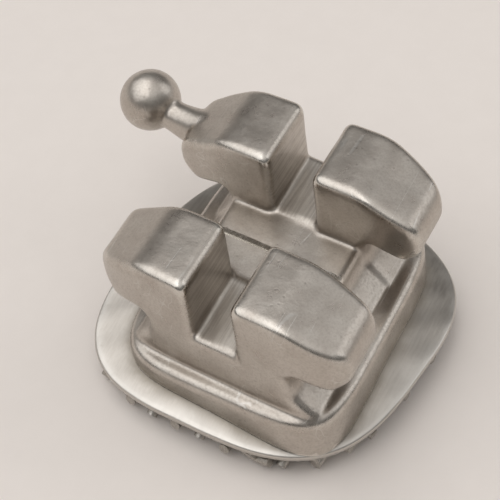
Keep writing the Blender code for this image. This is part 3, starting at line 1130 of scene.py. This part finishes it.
# %% Moulded steel
def moulded_skin():
    material, tree, place = start_material("moulded_steel_skin")
    grain = use_group(tree, satin_grain, vector=place, scale=38000.0, pit_share=0.10)
    peel = use_group(tree, sintered_peel, vector=place, scale=9000.0)
    lines = use_group(tree, work_lines, vector=place, stretch=(1500.0, 36000.0, 36000.0))
    marks = use_group(tree, hairlines, vector=place)
    wear_and_shade = use_wear_and_shade(tree, place)
    ground = stored(tree, "ground")

    colour = blend(tree, peel.outputs["Clouds"], SATIN_DARK, SATIN_LIGHT)
    colour = blend(tree, grain.outputs["Fleck"], colour, FLECK, 0.32)
    # Painted shade: darker where the bracket shuts off the sky.
    colour = blend(tree, wear_and_shade.outputs["Dullness"], colour, RECESS_SHADE, 0.75)
    colour = blend(tree, grain.outputs["Pits"], colour, PIT, 0.35)
    colour = blend(tree, marks.outputs["Scratches"], colour, SCRATCH, 0.6)
    colour = blend(tree, wear_and_shade.outputs["Polish"], colour, POLISHED)
    lined = blend(tree, lines.outputs["Tone"], GROUND_DARK, GROUND_LIGHT)
    colour = blend(tree, ground, colour, lined, 0.7)

    rough = add_share(tree, 0.27, peel.outputs["Clouds"], 0.05)
    rough = add_share(tree, rough, grain.outputs["Fleck"], 0.08)
    rough = add_share(tree, rough, wear_and_shade.outputs["Dullness"], 0.16)
    rough = add_share(tree, rough, wear_and_shade.outputs["Polish"], -0.11)

    skin = add_share(tree, grain.outputs["Height"], peel.outputs["Height"], 1.8)
    skin = add_share(tree, skin, marks.outputs["Scratches"], -0.8)
    rubbed = add_share(tree, 1.0, wear_and_shade.outputs["Polish"], -0.75)
    skin = maths(tree, "MULTIPLY", maths(tree, "SUBTRACT", skin, MEAN_HEIGHT), rubbed)
    skin = maths(tree, "MULTIPLY", skin, maths(tree, "SUBTRACT", 1.0, ground))
    cut = maths(tree, "MULTIPLY", lines.outputs["Height"], ground)
    finish_material(tree, colour, rough, add_share(tree, skin, cut, 1.2), MOULDED_RELIEF)
    return material


# %% [markdown]
# The foil: rolled sheet with fine lines along the roll. The wires under it press through very
# slightly, which shows as a faint quilt, made here of two crossing sine waves with the wires' spacing.
# Where the bracket shuts off its sky, round the plinth, it is rougher and painted darker. This is
# painted shade, which by the plinth also stands for the weld's tint.

# %% Tones of the foil, and its quilt
FOIL_DARK = (0.435, 0.402, 0.365)
FOIL_LIGHT = (0.485, 0.452, 0.412)
# The weld tint is painted shade as well: it follows the sky that the bracket shuts off.
WELD_TINT_AND_SHADE = (0.30, 0.265, 0.22)
RUBBED_RIM = (0.58, 0.55, 0.51)
QUILT_DEPTH = 6.0
FOIL_RELIEF = 0.8e-6


def quilt(tree, place):
    """Low pillows between the wires, in line with the turned pad."""
    turned = add(tree, "ShaderNodeMapping", vector=place, rotation=(0, 0, TIP))
    turned.inputs["Scale"].default_value = (math.pi / (MESH_PITCH * MM),) * 3
    across = add(tree, "ShaderNodeSeparateXYZ", vector=turned.outputs["Vector"])
    waves = [maths(tree, "SINE", across.outputs[axis]) for axis in ("X", "Y")]
    return maths(tree, "MULTIPLY", waves[0], waves[1])


# %% Rolled steel
def rolled_skin():
    material, tree, place = start_material("rolled_steel_skin")
    grain = use_group(tree, satin_grain, vector=place, scale=34000.0, pit_share=0.05)
    lines = use_group(tree, work_lines, vector=place, stretch=(1800.0, 30000.0, 30000.0))
    marks = use_group(tree, hairlines, vector=place)
    wear_and_shade = use_wear_and_shade(tree, place)

    colour = blend(tree, lines.outputs["Tone"], FOIL_DARK, FOIL_LIGHT)
    # Painted shade, with a little weld tint, where the bracket shuts off the sky.
    colour = blend(tree, wear_and_shade.outputs["Dullness"], colour, WELD_TINT_AND_SHADE, 0.7)
    colour = blend(tree, wear_and_shade.outputs["Polish"], colour, RUBBED_RIM)

    rough = add_share(tree, 0.30, lines.outputs["Tone"], 0.06)
    rough = add_share(tree, rough, wear_and_shade.outputs["Dullness"], 0.18)

    height = add_share(tree, grain.outputs["Height"], lines.outputs["Height"], 0.5)
    height = add_share(tree, height, marks.outputs["Scratches"], -0.5)
    height = add_share(tree, height, quilt(tree, place), QUILT_DEPTH)
    finish_material(tree, colour, rough, height, FOIL_RELIEF)
    return material


# %% [markdown]
# The wires: drawn steel, blasted with grit so that the resin holds. They are the dullest of the three,
# so they take the same grain at a finer scale, with more pits and a deeper relief. Where the foil and
# the body shut off their sky, painted shade makes them darker.

# %% Drawn and blasted wire
WIRE_LIGHT = (0.50, 0.475, 0.44)
WIRE_DARK = (0.38, 0.355, 0.325)
# The recess tone of the wires is painted shade.
WIRE_RECESS_SHADE = (0.27, 0.24, 0.205)
WIRE_RELIEF = 3.0e-6


def wire_skin():
    material, tree, place = start_material("drawn_wire_skin")
    grain = use_group(tree, satin_grain, vector=place, scale=52000.0, pit_share=0.45)
    wear_and_shade = use_wear_and_shade(tree, place)
    colour = blend(tree, grain.outputs["Fleck"], WIRE_LIGHT, WIRE_DARK)
    # Painted shade: darker where the foil and the body shut off the sky.
    colour = blend(tree, wear_and_shade.outputs["Dullness"], colour, WIRE_RECESS_SHADE, 0.6)
    rough = add_share(tree, 0.38, grain.outputs["Fleck"], 0.14)
    rough = add_share(tree, rough, grain.outputs["Pits"], 0.12)
    finish_material(tree, colour, rough, grain.outputs["Height"], WIRE_RELIEF)
    return material


# %% Give each piece its finish
for piece, make in ((body, moulded_skin), (foil, rolled_skin), (cloth, wire_skin)):
    piece.data.materials.append(make())
    print(piece.name, "wears", piece.data.materials[0].name)

# %% [markdown]
# ## Floor
# A plain pale board, wide enough to fill the view from any side. A single flat tone would look like
# paint in a computer, so a faint mottle of fibres is mixed in. It is marked as the stage, which says
# that it isn't part of the bracket.

# %% Lay the floor
FLOOR_SIZE = 4
BOARD_DARK = (0.85, 0.785, 0.735)
BOARD_LIGHT = (0.89, 0.825, 0.775)
bpy.ops.mesh.primitive_plane_add(size=FLOOR_SIZE, location=(0, 0, 0))
floor = bpy.context.object
floor.name = "floor"
board = bpy.data.materials.new("pale_floor")
board.use_nodes = True
sheet = board.node_tree
board_place = add(sheet, "ShaderNodeTexCoord").outputs["Object"]
fibres = add(sheet, "ShaderNodeTexNoise", vector=board_place, scale=2600.0, detail=4.0, roughness=0.6)
board_tone = blend(sheet, fibres.outputs["Fac"], BOARD_DARK, BOARD_LIGHT)
sheet.links.new(board_tone, sheet.nodes["Principled BSDF"].inputs["Base Color"])
sheet.nodes["Principled BSDF"].inputs["Roughness"].default_value = 0.7
floor.data.materials.append(board)
floor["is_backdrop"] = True
print("floor:", FLOOR_SIZE, "m wide")

# %% [markdown]
# ## Light
# Satin steel needs broad lights: a small lamp makes a hard glint, and a wide one a soft sheen that
# follows the shape. A large softbox stands behind and above, and a weaker one fills from the front.
# Neither is brighter than white paper, so their reflections don't burn out.

# %% Two softboxes
def softbox(name, direction, distance, size, power):
    """A rectangular area light at a distance, turned to face the bracket."""
    place = Vector(direction).normalized() * distance
    bpy.ops.object.light_add(type="AREA", location=place)
    lamp = bpy.context.object
    lamp.name = name
    lamp.data.shape = "RECTANGLE"
    lamp.data.size, lamp.data.size_y = size
    lamp.data.energy = power
    lamp.rotation_euler = (-place).to_track_quat("-Z", "Y").to_euler()
    print(name, "radiance", round(power / (math.pi * size[0] * size[1]), 2))


softbox("key_softbox", (-0.35, 0.9, 1.5), 1.6, (2.6, 1.9), 15)
softbox("fill_softbox", (0.9, -1.0, 0.9), 2.0, (1.2, 1.2), 4)

# %% [markdown]
# ## The studio round it
# Steel shows what is round it. The world is a studio in one ramp: a pale backdrop round the horizon, a
# dim band above it and a bright ceiling, so that a curved face changes its tone as it turns.

# %% World
BACKDROP = (0.68, 0.64, 0.605)
STUDIO_TONES = (
    (0.0, BACKDROP),
    (0.08, BACKDROP),
    (0.30, (0.10, 0.098, 0.095)),
    (0.55, (0.24, 0.236, 0.23)),
    (1.0, (0.90, 0.89, 0.88)),
)
world = bpy.context.scene.world or bpy.data.worlds.new("studio")
bpy.context.scene.world = world
world.use_nodes = True
sky = world.node_tree
sky_place = add(sky, "ShaderNodeTexCoord").outputs["Generated"]
sky_height = add(sky, "ShaderNodeSeparateXYZ", vector=sky_place).outputs["Z"]
studio = add(sky, "ShaderNodeValToRGB", fac=sky_height)
studio.color_ramp.interpolation = "EASE"
steps = studio.color_ramp.elements
while len(steps) < len(STUDIO_TONES):
    steps.new(0.5)
for step, (height, tone) in zip(steps, STUDIO_TONES):
    step.position = height
    step.color = (*tone, 1)
sky.links.new(studio.outputs["Color"], sky.nodes["Background"].inputs["Color"])
sky.nodes["Background"].inputs["Strength"].default_value = 1.0
print("studio ramp:", [(round(step.position, 2), round(step.color[0], 2)) for step in steps])

# %% [markdown]
# ## Camera
# The camera looks down on the bracket from the angle at which its pad has the outline and the hook has
# the place that they have in the photograph. A long lens keeps the shape free of perspective, and the
# near clipping distance is short enough for a thing of four millimetres.

# %% Place the camera
CAMERA_AZIMUTH = math.radians(-64)
CAMERA_ELEVATION = math.radians(50)
FRAME_SHARE = 0.86
low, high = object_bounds()
centre = (low + high) / 2
radius = (high - low).length / 2
camera_data = bpy.data.cameras.new("camera")
camera_data.lens = 110
camera_data.sensor_width = 36
camera_data.clip_start = 0.0005
camera_data.clip_end = 20
camera = bpy.data.objects.new("camera", camera_data)
bpy.context.scene.collection.objects.link(camera)
flat = math.cos(CAMERA_ELEVATION)
back = Vector(
    (
        math.sin(CAMERA_AZIMUTH) * flat,
        -math.cos(CAMERA_AZIMUTH) * flat,
        math.sin(CAMERA_ELEVATION),
    )
)
half_view = math.atan(camera_data.sensor_width / 2 / camera_data.lens)
camera.location = centre + back * radius / math.sin(half_view) * FRAME_SHARE
camera.rotation_euler = (-back).to_track_quat("-Z", "Y").to_euler()
bpy.context.scene.camera = camera
bpy.context.scene.view_settings.view_transform = "Standard"
print("camera", round((camera.location - centre).length / MM, 1), "mm away")

# %% [markdown]
# ## The last measure
# The dressed bracket may not outgrow the solids that it stands for. Both boxes are printed side by
# side.

# %% Write both boxes
visual_low, visual_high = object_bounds()
for corner, cad, visual in (("low", cad_low, visual_low), ("high", cad_high, visual_high)):
    print(corner, "CAD", [round(v / MM, 3) for v in cad], "visual", [round(v / MM, 3) for v in visual])
